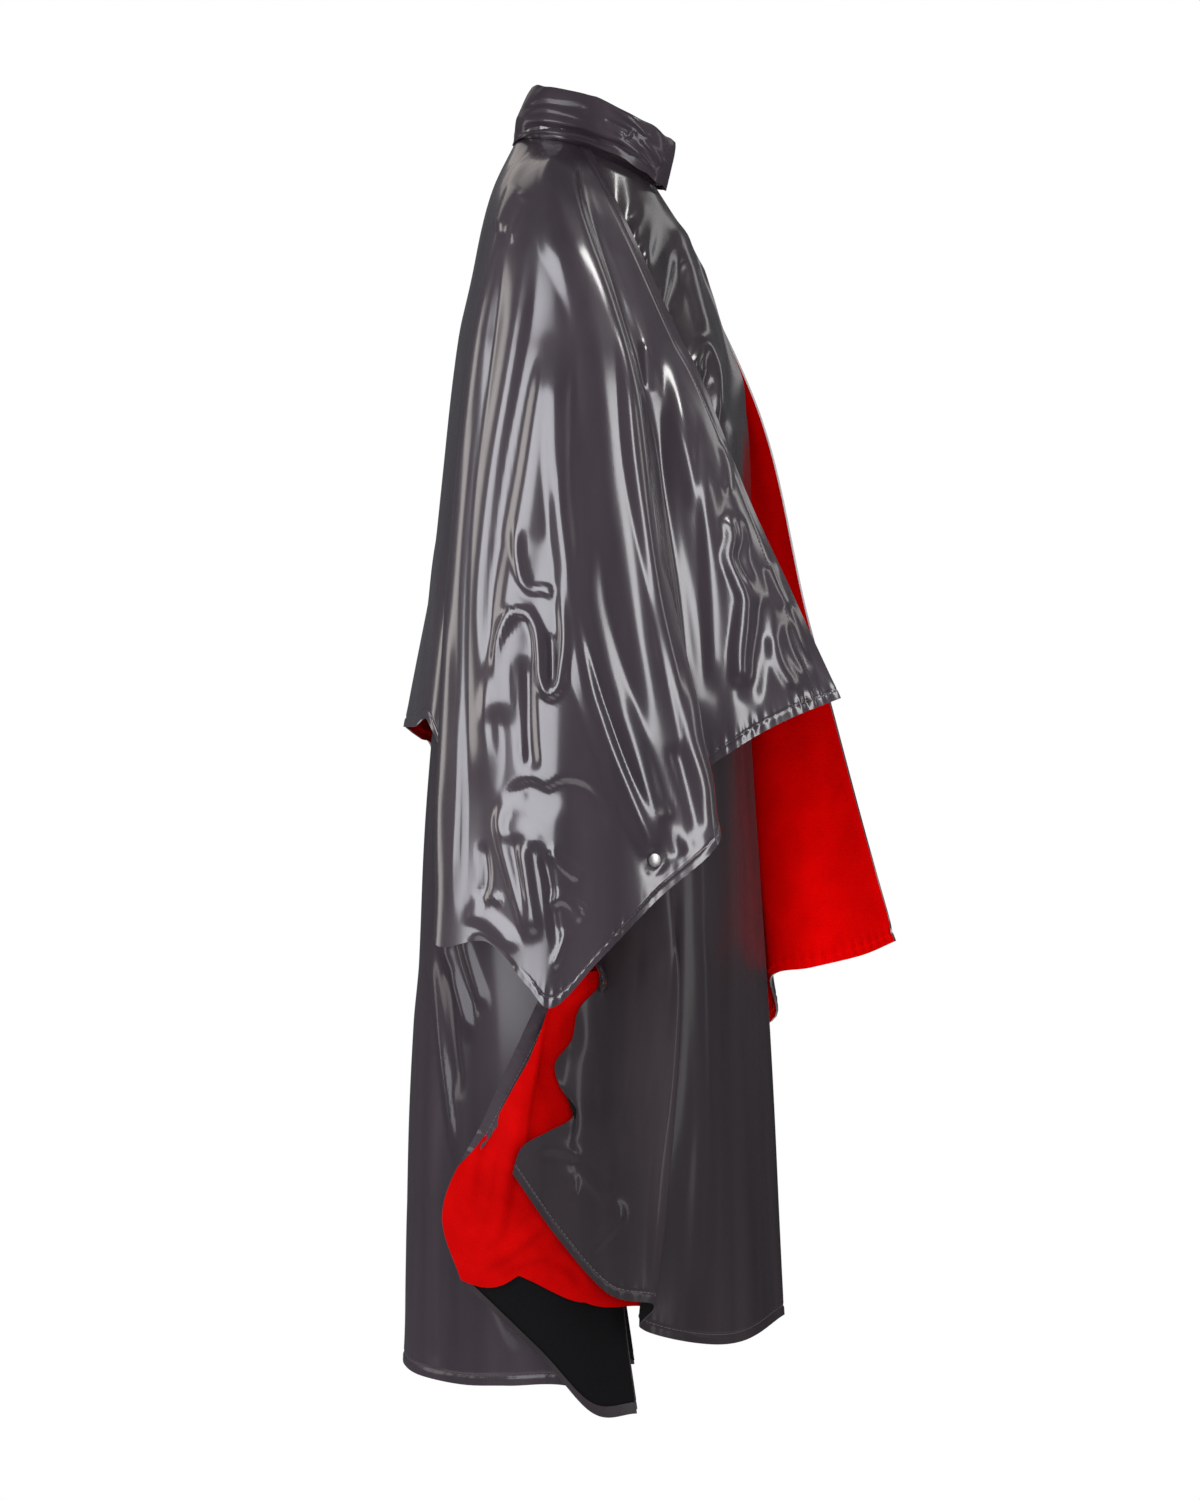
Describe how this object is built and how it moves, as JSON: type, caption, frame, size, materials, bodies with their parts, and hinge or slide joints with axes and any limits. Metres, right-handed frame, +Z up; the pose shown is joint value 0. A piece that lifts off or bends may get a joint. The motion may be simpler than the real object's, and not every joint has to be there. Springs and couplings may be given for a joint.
{
  "type": "cape coat",
  "caption": "Long glossy coated coat with a red-lined shoulder cape, open side slits and a rolled collar, hanging in its worn shape.",
  "frame": {"origin": "on the middle plane inside the neck, 13 mm above the neck seam's centre, where the wearer holds the coat up", "axes": "+X to the wearer's front, +Y to the wearer's left, +Z up"},
  "size_m": [0.4699, 0.5964, 1.2379],
  "materials": {
    "vinyl": "high gloss",
    "reverse": "matt",
    "lining": "matt",
    "metal": "polished"
  },
  "bodies": {
    "root": {"collar": "vinyl", "neck_band": "vinyl", "cape_right": "vinyl", "cape_left": "vinyl", "coat_front_right": "vinyl", "coat_front_left": "vinyl", "coat_back_right": "vinyl", "coat_back_left": "vinyl", "turned_corner_right": "reverse", "turned_corner_left": "reverse", "corner_lining_right": "lining", "corner_lining_left": "lining", "snap_right": "metal", "snap_left": "metal"}
  },
  "joints": []
}
